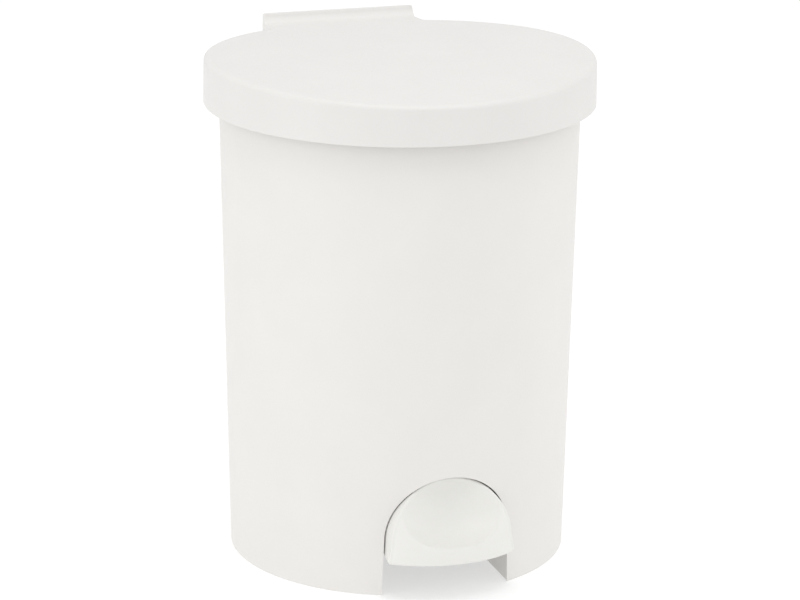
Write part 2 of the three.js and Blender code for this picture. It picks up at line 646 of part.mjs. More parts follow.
// The pedal's lower corners stand out further towards its nose.
function flared(geometry) {
  const place = geometry.attributes.position;
  for (let i = 0; i < place.count; i++) {
    const low = Math.max((OPENING_Z - place.getZ(i)) / (OPENING_Z - PEDAL_BOTTOM_Z), 0);
    const out = PEDAL_SIDE_OUT + PEDAL_FLARE * (OPENING_SIDE_Y - place.getY(i));
    place.setX(i, place.getX(i) + Math.sign(place.getX(i)) * low * out);
  }
}

function pedal() {
  const front = NOSE_Y - PEDAL_WALL;
  const behind = PEDAL_BACK + PEDAL_WALL;
  const rearRoom = block(-2 * PEDAL_R, 2 * PEDAL_R, NOSE_CENTRE_Y, behind, 0, 2 * OPENING_Z + PEDAL_R);
  const full = common(
    alongY(archOutline(PEDAL_R, OPENING_Z, PEDAL_BOTTOM_Z), front, PEDAL_BACK, flared),
    join(nose(0), rearRoom));
  const hollowArch = alongY(
    archOutline(PEDAL_R - PEDAL_WALL, OPENING_Z, PEDAL_BOTTOM_Z - 1), front, behind, flared);
  const hollow = cut(common(hollowArch, join(nose(PEDAL_WALL), rearRoom)), scoop(PEDAL_WALL));
  const tops = LEVER_ABOVE + GAP;
  const posts = [POST_FRONT, POST_REAR].map(d => common(
    atLever(cylinderZ(POST_R, 0, -d, tops, 2 * PEDAL_R)),
    alongY(archOutline(PEDAL_R - PEDAL_WALL / 2, OPENING_Z, PEDAL_BOTTOM_Z), front, PEDAL_BACK)));
  const holes = [POST_FRONT, POST_REAR].map(d => atLever(
    cylinderZ(SCREW_R + SCREW_PLAY, 0, -d, 0, LEVER_ABOVE + SCREW_LEN)));
  return cut(join(cut(full, hollow), ...posts), scoop(0), ...holes);
}

// ---------------------------------------------------------------- inner bucket
function bucketShape(grow, floorZ, topZ) {
  const lowR = bucketR(floorZ) + grow;
  const highR = bucketR(topZ) + grow;
  const round = turned([[0, floorZ], [lowR, floorZ], [highR, topZ], [0, topZ]]);
  return common(round, block(-BODY_R, BODY_R, -BODY_R, BUCKET_FLAT_Y + grow, floorZ - 1, topZ + 1));
}

function innerBucket() {
  const bead = bucketShape(BUCKET_BEAD, BUCKET_TOP - BUCKET_BEAD_H, BUCKET_TOP);
  const wallX = bucketR(BAIL_Z) - BUCKET_WALL / 2;
  const bossEnd = BAIL_RADIUS - BAIL_BEND_R - GAP;
  const boss = cylinderX(EAR_BOSS_R, wallX, bossEnd, 0, BAIL_Z);
  const holes = cylinderX(BAIL_R + GAP, -bossEnd - 1, bossEnd + 1, 0, BAIL_Z);
  const outside = join(bucketShape(0, BUCKET_FLOOR_Z, BUCKET_TOP), bead, boss, mirrored(boss));
  return cut(outside, bucketShape(-BUCKET_WALL, BUCKET_FLOOR_Z + BUCKET_WALL, BUCKET_TOP + 1), holes);
}

// Half a circle round the front of the bucket, with both ends turned in to its ears.
function bucketHandle() {
  const end = bucketR(BAIL_Z) - BUCKET_WALL - BAIL_R;
  const bendX = BAIL_RADIUS - BAIL_BEND_R;
  const outline = [
    [-end, 0],
    ...arc([-bendX, -BAIL_BEND_R], BAIL_BEND_R, 90, 170, 4),
    ...arc([0, 0], BAIL_RADIUS, 183, 357, 48),
    ...arc([bendX, -BAIL_BEND_R], BAIL_BEND_R, 10, 90, 4),
    [end, 0],
  ];
  return bar(BAIL_R, outline.map(([x, y]) => v3(x, y, BAIL_Z)), v3(0, 0, 1), 8);
}

function handleGrip() {
  const radius = bodyInR(BAIL_Z) - GRIP_WALL_GAP - GRIP_R;
  const profile = ring(arc([radius, BAIL_Z], GRIP_R, 0, 330, 11));
  const bore = ring(arc([BAIL_RADIUS, BAIL_Z], BAIL_R + GRIP_PLAY, 0, 330, 11));
  const half = GRIP_DEG / 2 * degrees;
  const far = 2 * BODY_R;
  const wide = far * Math.tan(half);
  const wedge = toSolid(extruded([v2(0, 0), v2(-wide, -far), v2(wide, -far)], 2 * BODY_H));
  return common(cut(turned(profile), turned(bore)), wedge);
}

// ---------------------------------------------------------------- the whole object
const plastic = (color, roughness) => new THREE.MeshStandardMaterial({ color, roughness, metalness: 0 });
const metal = (color, roughness) => new THREE.MeshStandardMaterial({ color, roughness, metalness: 1 });
const WHITE = plastic(0xf1efeb, 0.5);
const PEDAL_WHITE = plastic(0xedebe6, 0.5);
const LINER = plastic(0xe9e8e4, 0.55);
const NYLON = plastic(0xdedcd3, 0.45);
const RUBBER = plastic(0x4a4a4c, 0.85);
const STEEL = metal(0xb4b6b8, 0.35);
const DARK_STEEL = metal(0x8d9093, 0.42);

const bin = new THREE.Group();
const moved = new THREE.Group();
moved.position.y = -(NOSE_Y + HOOD_Y) / 2;
bin.add(moved);

function piece(name, solid, material) {
  const mesh = new THREE.Mesh(toGeometry(solid), material);
  mesh.name = name;
  moved.add(mesh);
}

piece('outer_body', outerBody(), WHITE);
piece('lid', lid(), WHITE);
for (const name of Object.keys(BUFFER_ANGLES)) piece(`lid_buffer_${name}`, lidBuffer(name), RUBBER);
piece('hinge_pin', cylinderX(HINGE_PIN_R, -HINGE_PIN_HALF, HINGE_PIN_HALF, HINGE_Y, HINGE_Z), STEEL);

piece('pedal', pedal(), PEDAL_WHITE);
piece('pedal_lever', pedalLever(), DARK_STEEL);
piece('pedal_screw_front', pedalScrew(POST_FRONT), STEEL);
piece('pedal_screw_rear', pedalScrew(POST_REAR), STEEL);
piece('pedal_axle', cylinderX(AXLE_R, -AXLE_HALF, AXLE_HALF, AXLE_Y, AXLE_Z), STEEL);
piece('axle_clip_right', clipX(AXLE_R, AXLE_CLIP_X, AXLE_Y, AXLE_Z), DARK_STEEL);
piece('axle_clip_left', clipX(AXLE_R, -AXLE_CLIP_X - CLIP_T, AXLE_Y, AXLE_Z), DARK_STEEL);

piece('push_rod', pushRod(), STEEL);
piece('rod_roller', rodRoller(), NYLON);
piece('rod_clip_top', clipX(ROD_R, TOP_CLIP_X, ROD_Y, ROD_TOP_Z), DARK_STEEL);
piece('rod_clip_bottom', clipX(ROD_R, LOW_CLIP_X, ROD_Y, ROD_LOW_Z), DARK_STEEL);
piece('rod_guide_lower', rodGuide(GUIDE_LOW_Z), NYLON);
piece('rod_guide_upper', rodGuide(GUIDE_TOP_Z), NYLON);

piece('inner_bucket', innerBucket(), LINER);
piece('bucket_handle', bucketHandle(), STEEL);
piece('handle_grip', handleGrip(), NYLON);

export default bin;
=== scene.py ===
import json
import math

import bmesh
import bpy
import numpy as np
from mathutils import Matrix, Vector

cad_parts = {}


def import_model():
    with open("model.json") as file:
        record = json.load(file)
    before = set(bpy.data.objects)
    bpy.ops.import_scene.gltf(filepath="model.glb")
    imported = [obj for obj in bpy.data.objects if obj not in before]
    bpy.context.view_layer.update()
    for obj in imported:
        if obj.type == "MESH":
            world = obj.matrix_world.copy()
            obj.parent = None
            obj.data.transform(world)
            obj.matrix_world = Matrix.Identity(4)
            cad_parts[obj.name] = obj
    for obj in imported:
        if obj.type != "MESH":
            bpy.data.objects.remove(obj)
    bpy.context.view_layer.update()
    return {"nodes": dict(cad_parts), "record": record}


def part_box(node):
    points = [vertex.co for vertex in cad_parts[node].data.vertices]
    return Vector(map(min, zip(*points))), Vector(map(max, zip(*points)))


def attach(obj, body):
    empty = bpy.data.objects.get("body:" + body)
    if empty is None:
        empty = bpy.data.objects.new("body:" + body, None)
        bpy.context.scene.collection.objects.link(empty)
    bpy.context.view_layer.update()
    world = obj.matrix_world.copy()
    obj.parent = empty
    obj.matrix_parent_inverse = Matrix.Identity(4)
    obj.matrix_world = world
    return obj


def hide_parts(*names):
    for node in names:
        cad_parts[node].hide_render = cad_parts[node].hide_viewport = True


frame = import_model()

MM = 0.001
JOINTS = {joint["name"]: joint for joint in frame["record"]["behaviour"]["joints"]}

# ---------------------------------------------------------------- places taken from the frame
AXIS_Y = JOINTS["handle_swing"]["pos_m"][1]          # the body's vertical axis
BAIL_Z = JOINTS["handle_swing"]["pos_m"][2]
HINGE_Y, HINGE_Z = JOINTS["lid_hinge"]["pos_m"][1:]
AXLE_Y, AXLE_Z = JOINTS["pedal_pivot"]["pos_m"][1:]
LID_LOW, LID_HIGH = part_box("lid")
PEDAL_LOW, PEDAL_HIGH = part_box("pedal")
BUCKET_LOW, BUCKET_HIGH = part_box("inner_bucket")
GRIP_LOW, GRIP_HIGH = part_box("handle_grip")
BAIL_LOW, BAIL_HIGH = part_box("bucket_handle")
ROD_LOW, ROD_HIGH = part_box("push_rod")
ROLLER_LOW, ROLLER_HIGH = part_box("rod_roller")
ROD_Y = (ROD_LOW.y + ROD_HIGH.y) / 2
LOW_CLIP_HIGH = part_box("rod_clip_bottom")[1]

# ---------------------------------------------------------------- sizes, in metres
BODY_H = 331 * MM
BODY_TOP_R = 121.4 * MM
BODY_TAPER = 6.8 * MM
BODY_WALL = 2.2 * MM
BEAD_OUT = 1.6 * MM
BEAD_H = 5 * MM
FOOT_RING_IN = 5.5 * MM
FOOT_RING_H = 3 * MM
GAP = 0.3 * MM                      # between CAD pieces that touch on the real object
DECK_TOP = BUCKET_LOW.z - GAP
DECK_T = 2.5 * MM
DECK_FILLET = 3 * MM
DECK_CENTRE_R = 0.001 * MM          # the deck's outline stops this close to the axis
BODY_EDGE = 0.5 * MM                # chamfers of the foot ring and the rim
CUT_EDGE = 0.35 * MM                # bevel of the body's cut edges and of the lid's ears

OPENING_R = 43 * MM
OPENING_Z = 39 * MM
OPENING_FLARE = 1.1 * MM
BAY_R = 44.5 * MM
BAY_WALL = 2 * MM
BAY_DEPTH = 74 * MM
MOUTH_BEFORE = 20 * MM              # the opening's cutter, before and behind the front wall
MOUTH_BEHIND = 30 * MM
AXLE_HOLE_R = 3.3 * MM
AXLE_CUT = (40 * MM, 60 * MM)       # the axle hole's cutter, out from the middle

LID_WALL = 2.2 * MM
LID_TOP = 341.5 * MM
LID_BOTTOM = LID_LOW.z
LID_R = 131 * MM
LID_EDGE_R = 3.4 * MM
LID_ARCH = 5 * MM
SKIRT_DRAFT = 0.3 * MM
HOOD_HALF_W = 55 * MM
HOOD_Y = LID_HIGH.y
HOOD_EDGE_R = 1.3 * MM
HOOD_CORNER_R = 3 * MM
HOOD_BLEND_R = 7 * MM
HOOD_DROP = 10 * MM                 # the hood's walls below the hinge axis
HOOD_LOW_Z = HINGE_Z - HOOD_DROP
HOOD_MARGIN = 1.5 * MM              # past the lid's circle, where the hood's tighter edge starts
SKIRT_STEP_OUT = 12 * MM
SKIRT_STEP_RUN = 3 * MM             # width over which the skirt's edge steps up
LEAST_EDGE_R = 0.5 * MM
LEAST_CORNER_R = 0.6 * MM
RIDGE_H = 6.4 * MM
RIDGE_T = 3.2 * MM
RIDGE_FILLET_R = 8.2 * MM
RIDGE_SOFT = 1.2 * MM

KNUCKLE_R = 5.4 * MM
KNUCKLE_EDGE = 0.4 * MM
LUG_X = 38 * MM                     # inner face of the body's knuckle
LUG_T = 4.5 * MM
LUG_H = 20 * MM
LUG_ROOT = 8 * MM                   # the knuckle's outline starts this far in from the wall's outside
LUG_CUT_LOW_Z = 200 * MM            # the cutter that ends the knuckle at the wall: its foot,
LUG_CUT_OVER = 20 * MM              # and how far it stands over the rim
EAR_X = 43.3 * MM                   # inner face of the lid's ear
EAR_T = 3.5 * MM
PIN_HOLE_R = 2.3 * MM
HINGE_CUT = (30 * MM, 50 * MM)      # the pin hole's cutter, out from the middle
FITTING_SINK = 0.6 * MM             # ears and plate go this far into the lid
PLATE_T = 4 * MM                    # plate that the push rod's roller lifts
PLATE_CLEAR = 5 * MM                # from the roller's centre to the plate's edge
PLATE_PAST = 3.6 * MM               # past the roller's resting place
PLATE_CHAMFER = 1.5 * MM
PLATE_CHAMFER_H = 4 * MM
PLATE_LEAN = 6 * MM
PLATE_WALL_GAP = 1.6 * MM

PEDAL_R = 42 * MM
PEDAL_BOTTOM_Z = PEDAL_LOW.z
PEDAL_LIP_H = 7 * MM
NOSE_R = 68 * MM
NOSE_CENTRE_Y = PEDAL_LOW.y + NOSE_R
PEDAL_WALL = 2.6 * MM
PEDAL_EDGE_R = 1.5 * MM
PEDAL_CORNER_R = 1.8 * MM
PEDAL_SIDE_OUT = 0.4 * MM
PEDAL_FLARE = 0.15
SCOOP_R = 29.4 * MM
SCOOP_HALF_W = 48 * MM
SCOOP_FORWARD = 4.8 * MM
SCOOP_UP = 28.4 * MM
SCOOP_SOFT = 1.6 * MM
FACE_MIDDLE_Z = 52 * MM             # point that the face's loops shrink to
FACE_LOOPS = 76
PEDAL_HEM = 3.2 * MM                # depth of the upright edge along the bottom
PEDAL_INNER_SHARE = 0.93            # hollow of the cap, as a share of its face
BACK_EDGE_TOLERANCE = 0.3 * MM

BUCKET_WALL = 1.8 * MM
BUCKET_TAPER = 8 * MM
BUCKET_BEAD_H = 5 * MM
BUCKET_SIDE_GAP = 11.6 * MM         # inside of the body's wall to the bucket's bead, at the rim
BUCKET_CORNER_R = 9 * MM
BUCKET_FOOT_R = 6 * MM
BUCKET_INNER_FOOT_R = 5 * MM
BUCKET_FLOOR_IN = 14 * MM           # the floor's middle is closed this far in from the wall
BEAD_TOP_R = BODY_TOP_R - BODY_TAPER * (1 - BUCKET_HIGH.z / BODY_H) - BODY_WALL - BUCKET_SIDE_GAP
BAIL_SHARE = (BUCKET_HIGH.z - BAIL_Z) / (BUCKET_HIGH.z - BUCKET_LOW.z)
BAIL_WALL_X = BEAD_TOP_R - BEAD_OUT - BUCKET_TAPER * BAIL_SHARE
BAIL_WIRE_R = (BAIL_HIGH.z - BAIL_LOW.z) / 2
BAIL_BEND_R = 3.2 * MM
GRIP_STEPS = 150                    # loops along the grip
GRIP_COLLAR_STEPS = 7
GRIP_RIBS = 15
BOSS_R = 5 * MM
BOSS_HOLE_R = 1.9 * MM
BOSS_SINK = 1.2 * MM
BOSS_EDGE = 0.5 * MM
BOSS_END_X = BAIL_HIGH.x - BAIL_WIRE_R - 3.5 * MM
BOSS_CUT = (80 * MM, 130 * MM)      # the ear hole's cutter, out from the middle

NEAR_AXIS = 0.01 * MM               # a turned outline stops this close to its axis
PIN_EDGE = 0.5 * MM
ROD_R = 2 * MM
ROD_BEND_R = 4.5 * MM
ROD_END = 1.4 * MM                  # rod's end past its clip
ROLLER_HOLE_R = 2.3 * MM
ROLLER_EDGE = 0.6 * MM
AXLE_R = 3 * MM
CLIP_TEETH = 6
CLIP_STEPS = 72
CLIP_TOOTH_GAP = 0.9 * MM
CLIP_TRIM = 0.1 * MM                # the washer stays this much inside its CAD piece, all round
CLIP_SIDE_TRIM = 0.2 * MM
BUFFER_STEM_R = 2.4 * MM
BUFFER_STEM_EDGE = 0.7 * MM
BUFFER_CAP_H = 2.6 * MM
BUFFER_CAP_EDGE = 0.6 * MM

ROUND_STEPS = 256

# ---------------------------------------------------------------- view and floor
VIEW_AZIMUTH = -18                  # degrees
VIEW_ELEVATION = 16.849
VIEW_ROLL = 0.504
VIEW_DISTANCE = 2.3064              # metres, from the target
VIEW_RIGHT = 1.22 * MM              # the target, right of the axis and above the floor
VIEW_UP = 170.33 * MM
VIEW_LENS = 152.44                  # millimetres, as a camera's lens is given
FLOOR_HALF = 6.0
FLOOR_GREY = 0.55
FLOOR_GLOW = 0.5
WORLD_LIGHT = 0.81


def body_radius(z):
    return BODY_TOP_R - BODY_TAPER * (1 - z / BODY_H)


def lid_fall(y):
    return LID_ARCH * (y / LID_R) ** 2


# ---------------------------------------------------------------- mesh helpers
def new_mesh(name, points, faces):
    mesh = bpy.data.meshes.new(name)
    mesh.from_pydata([tuple(p) for p in points], [], faces)
    mesh.validate()
    piece = bpy.data.objects.new(name, mesh)
    bpy.context.collection.objects.link(piece)
    return piece


def smooth(piece, angle=40):
    piece.data.shade_smooth()
    piece.data.set_sharp_from_angle(angle=math.radians(angle))
    return piece


def applied(piece):
    """Bakes the piece's modifiers into its mesh."""
    graph = bpy.context.evaluated_depsgraph_get()
    mesh = bpy.data.meshes.new_from_object(piece.evaluated_get(graph))
    piece.modifiers.clear()
    old = piece.data
    piece.data = mesh
    bpy.data.meshes.remove(old)
    return piece


def outward(piece):
    """Turns every face of a closed mesh outwards."""
    work = bmesh.new()
    work.from_mesh(piece.data)
    bmesh.ops.recalc_face_normals(work, faces=work.faces)
    work.to_mesh(piece.data)
    work.free()
    return piece


def joined(name, pieces):
    """One object from several, each already closed."""
    points, faces = [], []
    for piece in pieces:
        base = len(points)
        points += [v.co.copy() for v in piece.data.vertices]
        faces += [[base + i for i in face.vertices] for face in piece.data.polygons]
        bpy.data.objects.remove(piece)
    return new_mesh(name, points, faces)


def boolean(piece, tool, operation):
    step = piece.modifiers.new("join", "BOOLEAN")
    step.operation = operation
    step.solver = "EXACT"
    step.object = tool
    applied(piece)
    bpy.data.objects.remove(tool)
    return piece


def bevelled(piece, width, segments=2, angle=35):
    step = piece.modifiers.new("bevel", "BEVEL")
    step.width = width
    step.segments = segments
    step.limit_method = "ANGLE"
    step.angle_limit = math.radians(angle)
    return applied(piece)


def closed_loops(name, loops, close=False):
    """A solid through loops of equal length, capped at both ends or, with close, joined last to first."""
    count = len(loops[0])
    points = [point for loop in loops for point in loop]
    faces = []
    rows = len(loops)
    for row in range(rows if close else rows - 1):
        a, b = row * count, (row + 1) % rows * count
        for i in range(count):
            j = (i + 1) % count
            faces.append((a + i, a + j, b + j, b + i))
    if not close:
        faces.append(tuple(range(count)))
        faces.append(tuple(range((rows - 1) * count, rows * count)))
    return outward(new_mesh(name, points, faces))


def revolved(name, profile, steps=ROUND_STEPS, centre_y=AXIS_Y):
    """Turns a closed outline of (radius, height) round a vertical line."""
    loops = []
    for i in range(steps):
        turn = 2 * math.pi * i / steps
        loops.append([(r * math.sin(turn), centre_y - r * math.cos(turn), z) for r, z in profile])
    return closed_loops(name, loops, close=True)


def prism(name, outline, axis, low, high):
    """An outline of two coordinates, made solid along the third."""
    def place(u, v, w):
        return {"x": (w, u, v), "y": (u, w, v), "z": (u, v, w)}[axis]
    loops = [[place(u, v, w) for u, v in outline] for w in (low, high)]
    return closed_loops(name, loops)


def side_prism(name, outline, side, near, far):
    """An outline of (y, z) made solid along X, between two distances out from the middle."""
    low, high = sorted((side * near, side * far))
    return prism(name, outline, "x", low, high)


def tube(name, path, radius, sides=20):
    """A round bar along a list of points, with flat ends."""
    path = [Vector(p) for p in path]
    loops = []
    side = None
    for i, point in enumerate(path):
        ahead = (path[min(i + 1, len(path) - 1)] - path[max(i - 1, 0)]).normalized()
        if side is None:
            side = ahead.orthogonal().normalized()
        side = (side - ahead * side.dot(ahead)).normalized()
        up = ahead.cross(side)
        loops.append([
            point + radius * (side * math.cos(t) + up * math.sin(t))
            for t in (2 * math.pi * k / sides for k in range(sides))])
    return closed_loops(name, loops)


def arc(cx, cy, radius, start, end, steps):
    """Points on an arc, in degrees."""
    turns = [math.radians(start + (end - start) * i / steps) for i in range(steps + 1)]
    return [(cx + radius * math.cos(t), cy + radius * math.sin(t)) for t in turns]


def circle(cx, cy, radius, steps):
    """Evenly spaced points round a circle."""
    return arc(cx, cy, radius, 0, 360 - 360 / steps, steps - 1)


def outline_normals(outline):
    """The outward direction at each point of a closed outline drawn anticlockwise."""
    normals = []
    for i, ahead in enumerate(outline[1:] + outline[:1]):
        behind = outline[i - 1]
        along = Vector((ahead[0] - behind[0], ahead[1] - behind[1])).normalized()
        normals.append(Vector((along.y, -along.x)))
    return normals


# ---------------------------------------------------------------- materials
def material(name, color, roughness, metallic=0.0):
    made = bpy.data.materials.new(name)
    made.use_nodes = True
    shader = made.node_tree.nodes["Principled BSDF"]
    shader.inputs["Base Color"].default_value = (*color, 1)
    shader.inputs["Roughness"].default_value = roughness
    shader.inputs["Metallic"].default_value = metallic
    return made, made.node_tree, shader


def noise(tree, scale, detail=3.0, stretch=(1, 1, 1)):
    where = tree.nodes.new("ShaderNodeTexCoord")
    mapping = tree.nodes.new("ShaderNodeMapping")
    mapping.inputs["Scale"].default_value = stretch
    texture = tree.nodes.new("ShaderNodeTexNoise")
    texture.inputs["Scale"].default_value = scale
    texture.inputs["Detail"].default_value = detail
    tree.links.new(where.outputs["Object"], mapping.inputs["Vector"])
    tree.links.new(mapping.outputs["Vector"], texture.inputs["Vector"])
    return texture.outputs["Fac"]


def spread(tree, value, low, high, start=0.3, end=0.7):
    ramp = tree.nodes.new("ShaderNodeMapRange")
    ramp.inputs["From Min"].default_value = start
    ramp.inputs["From Max"].default_value = end
    ramp.inputs["To Min"].default_value = low
    ramp.inputs["To Max"].default_value = high
    tree.links.new(value, ramp.inputs["Value"])
    return ramp.outputs["Result"]


def vary_color(tree, shader, value, dark, light):
    mix = tree.nodes.new("ShaderNodeMix")
    mix.data_type = "RGBA"
    mix.inputs["A"].default_value = (*dark, 1)
    mix.inputs["B"].default_value = (*light, 1)
    tree.links.new(value, mix.inputs["Factor"])
    tree.links.new(mix.outputs["Result"], shader.inputs["Base Color"])


def bump(tree, shader, heights, distance, strength=1.0):
    """Adds the given height values, each with its own share, as one bump."""
    total = None
    for value, share in heights:
        scaled = tree.nodes.new("ShaderNodeMath")
        scaled.operation = "MULTIPLY"
        scaled.inputs[1].default_value = share
        tree.links.new(value, scaled.inputs[0])
        if total is None:
            total = scaled.outputs[0]
            continue
        add = tree.nodes.new("ShaderNodeMath")
        add.operation = "ADD"
        tree.links.new(total, add.inputs[0])
        tree.links.new(scaled.outputs[0], add.inputs[1])
        total = add.outputs[0]
    node = tree.nodes.new("ShaderNodeBump")
    node.inputs["Distance"].default_value = distance
    node.inputs["Strength"].default_value = strength
    tree.links.new(total, node.inputs["Height"])
    tree.links.new(node.outputs["Normal"], shader.inputs["Normal"])


def plastic(name, color, roughness, grain=0.05 * MM, grain_scale=1500):
    """Moulded polypropylene: a fine spark-eroded grain, faint flow mottling and a soft sheen."""
    made, tree, shader = material(name, color, roughness)
    shader.inputs["IOR"].default_value = 1.49
    shader.inputs["Subsurface Weight"].default_value = 0.06
    shader.inputs["Subsurface Radius"].default_value = (0.004, 0.0035, 0.003)
    shader.inputs["Subsurface Scale"].default_value = 0.6
    mottle = noise(tree, 26, 4.0)
    fine = noise(tree, grain_scale, 2.0)
    coarse = noise(tree, grain_scale * 0.36, 2.0)
    dark = tuple(c * 0.988 for c in color)
    light = tuple(min(1.0, c * 1.006) for c in color)
    vary_color(tree, shader, spread(tree, mottle, 0, 1), dark, light)
    tree.links.new(spread(tree, coarse, roughness - 0.07, roughness + 0.08), shader.inputs["Roughness"])
    bump(tree, shader, [(fine, 0.6), (coarse, 1.0)], grain)
    return made


def steel(name, color, roughness, stretch):
    """Drawn or rolled zinc-plated steel: long fine scratches along the metal and dull patches."""
    made, tree, shader = material(name, color, roughness, 1.0)
    scratches = noise(tree, 900, 3.0, stretch)
    patches = noise(tree, 60, 4.0)
    vary_color(tree, shader, spread(tree, patches, 0, 1), tuple(c * 0.82 for c in color), color)
    tree.links.new(spread(tree, patches, roughness - 0.06, roughness + 0.14), shader.inputs["Roughness"])
    bump(tree, shader, [(scratches, 1.0), (patches, 0.4)], 0.02 * MM)
    return made


def rubber(name):
    color = (0.07, 0.07, 0.072)
    made, tree, shader = material(name, color, 0.8)
    speckle = noise(tree, 2200, 2.0)
    haze = noise(tree, 120, 4.0)
    vary_color(tree, shader, spread(tree, haze, 0, 1), color, (0.1, 0.1, 0.102))
    tree.links.new(spread(tree, haze, 0.7, 0.9), shader.inputs["Roughness"])
    bump(tree, shader, [(speckle, 1.0)], 0.06 * MM)
    return made


BODY_WHITE = plastic("body_plastic", (0.785, 0.770, 0.745), 0.46)
# The lid is the body's plastic painted a shade darker: painted shade, so that its top, lit most by the top
# lamp, comes out no brighter than the body
LID_SHADED_WHITE = plastic("lid_plastic", (0.752, 0.742, 0.724), 0.43)
PEDAL_WHITE = plastic("pedal_plastic", (0.80, 0.797, 0.765), 0.44)
LINER_WHITE = plastic("liner_plastic", (0.79, 0.785, 0.76), 0.4, 0.03 * MM)
NYLON = plastic("nylon", (0.70, 0.685, 0.63), 0.38, 0.02 * MM)
ROD_STEEL = steel("rod_steel", (0.60, 0.61, 0.62), 0.3, (1, 1, 0.02))
CROSS_STEEL = steel("cross_steel", (0.60, 0.61, 0.62), 0.3, (0.02, 1, 1))
LEVER_STEEL = steel("lever_steel", (0.52, 0.53, 0.545), 0.38, (1, 0.03, 1))
CLIP_STEEL = steel("clip_steel", (0.36, 0.37, 0.385), 0.42, (0.3, 1, 1))
BUFFER_RUBBER = rubber("buffer_rubber")


def finished(piece, body, finish, slot_name, *nodes):
    """Gives a piece its material and hangs it on its body in place of the nodes."""
    piece.data.materials.clear()
    piece.data.materials.append(finish)
    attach(piece, body)
    if nodes:
        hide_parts(*nodes)
    return piece


def dressed(node, finish):
    """Keeps a CAD node and gives it a better material."""
    obj = frame["nodes"][node]
    for place in obj.material_slots:
        place.material = finish
    if not obj.material_slots:
        obj.data.materials.append(finish)


# ---------------------------------------------------------------- outer body
def body_inside(z):
    return body_radius(z) - BODY_WALL


def arch(radius, bottom_z, steps=72):
    """The outline of an upright arch round the pedal's opening."""
    return [(-radius, bottom_z), *arc(0, OPENING_Z, radius, 180, 0, steps), (radius, bottom_z)]


def body_space(inset, z0, z1, steps=ROUND_STEPS):
    """The solid space inside the body's outer surface, between two heights."""
    loops = []
    for r, z in ((body_radius(z0) - inset, z0), (body_radius(z1) - inset, z1)):
        loops.append([
            (r * math.sin(2 * math.pi * i / steps), AXIS_Y - r * math.cos(2 * math.pi * i / steps), z)
            for i in range(steps)])
    return closed_loops("body_space", loops)


def hinge_hole(side):
    return side_prism("hole", circle(HINGE_Y, HINGE_Z, PIN_HOLE_R, 30), side, *HINGE_CUT)


def hinge_lug(side):
    """A knuckle that carries the hinge pin, out from the back of the body."""
    back = AXIS_Y + BODY_TOP_R
    outline = [
        (back - LUG_ROOT, HINGE_Z + KNUCKLE_R),
        *arc(HINGE_Y, HINGE_Z, KNUCKLE_R, 90, -100, 28),
        (back - KNUCKLE_R, HINGE_Z - LUG_H),
        (back - LUG_ROOT, HINGE_Z - LUG_H),
    ]
    lug = side_prism("lug", outline, side, LUG_X, LUG_X + LUG_T)
    boolean(lug, hinge_hole(side), "DIFFERENCE")
    boolean(lug, body_space(BODY_WALL / 2, LUG_CUT_LOW_Z, BODY_H + LUG_CUT_OVER), "DIFFERENCE")
    return bevelled(lug, KNUCKLE_EDGE)


def body_profile():
    """The body's wall as (radius, height), from the deck out and down, up the outside and back in."""
    edge = BODY_EDGE
    bead_z = BODY_H - BEAD_H
    bead_r = BODY_TOP_R + BEAD_OUT
    deck_low = DECK_TOP - DECK_T
    foot_r = body_radius(0)
    ring_r = foot_r - FOOT_RING_IN
    return [
        (DECK_CENTRE_R, deck_low), (body_inside(deck_low), deck_low),
        (body_inside(FOOT_RING_H), FOOT_RING_H), (ring_r, FOOT_RING_H),
        (ring_r, edge), (ring_r + edge, 0),
        (foot_r - edge, 0), (foot_r, edge),
        *[(body_radius(z), z) for z in np.linspace(edge * 2, bead_z, 24)],
        (bead_r, bead_z + BEAD_OUT), (bead_r, BODY_H - edge), (bead_r - edge, BODY_H),
        (body_inside(BODY_H) + edge, BODY_H), (body_inside(BODY_H), BODY_H - edge),
        (body_inside(DECK_TOP + DECK_FILLET), DECK_TOP + DECK_FILLET),
        (body_inside(DECK_TOP) - DECK_FILLET, DECK_TOP),
        (DECK_CENTRE_R, DECK_TOP),
    ]


def outer_body():
    shell = revolved("outer_body_shell", body_profile())
    front = AXIS_Y - BODY_TOP_R
    front_low = AXIS_Y - body_radius(0)
    bay_back = front_low + BAY_DEPTH
    bay = prism("bay", arch(BAY_R + BAY_WALL, 0), "y", front, bay_back)
    boolean(bay, body_space(BODY_WALL / 2, -MM, BODY_H), "INTERSECT")
    boolean(shell, bay, "UNION")
    room = prism("room", arch(BAY_R, -MM), "y", front, bay_back + MM)
    boolean(room, body_space(BODY_WALL, -2 * MM, BODY_H), "INTERSECT")
    boolean(shell, room, "DIFFERENCE")
    foot_x = OPENING_R + OPENING_FLARE
    outline = [
        (-foot_x, -MM), (-foot_x, 0),
        *arc(0, OPENING_Z, OPENING_R, 180, 0, 72),
        (foot_x, 0), (foot_x, -MM),
    ]
    mouth = prism("mouth", outline, "y", front - MOUTH_BEFORE, front_low + MOUTH_BEHIND)
    boolean(shell, mouth, "DIFFERENCE")
    for side in (-1, 1):
        axle_hole = side_prism("axle_hole", arc(AXLE_Y, AXLE_Z, AXLE_HOLE_R, 0, 354, 30), side, *AXLE_CUT)
        boolean(shell, axle_hole, "DIFFERENCE")
    bevelled(shell, CUT_EDGE, 2, 50)
    piece = joined("bin_body", [shell, hinge_lug(-1), hinge_lug(1)])
    return finished(smooth(piece, 32), "bin", BODY_WHITE, "white_plastic", "outer_body")


# ---------------------------------------------------------------- lid
def lid_low_edge(x, y):
    """The skirt's lower edge, which steps up beside the hood and stays up all round it."""
    step_x = HOOD_HALF_W + SKIRT_STEP_OUT
    share = min(max((step_x + SKIRT_STEP_RUN / 2 - abs(x)) / SKIRT_STEP_RUN, 0), 1) if y > 0 else 0
    return LID_BOTTOM + (HOOD_LOW_Z - LID_BOTTOM) * share * share * (3 - 2 * share)


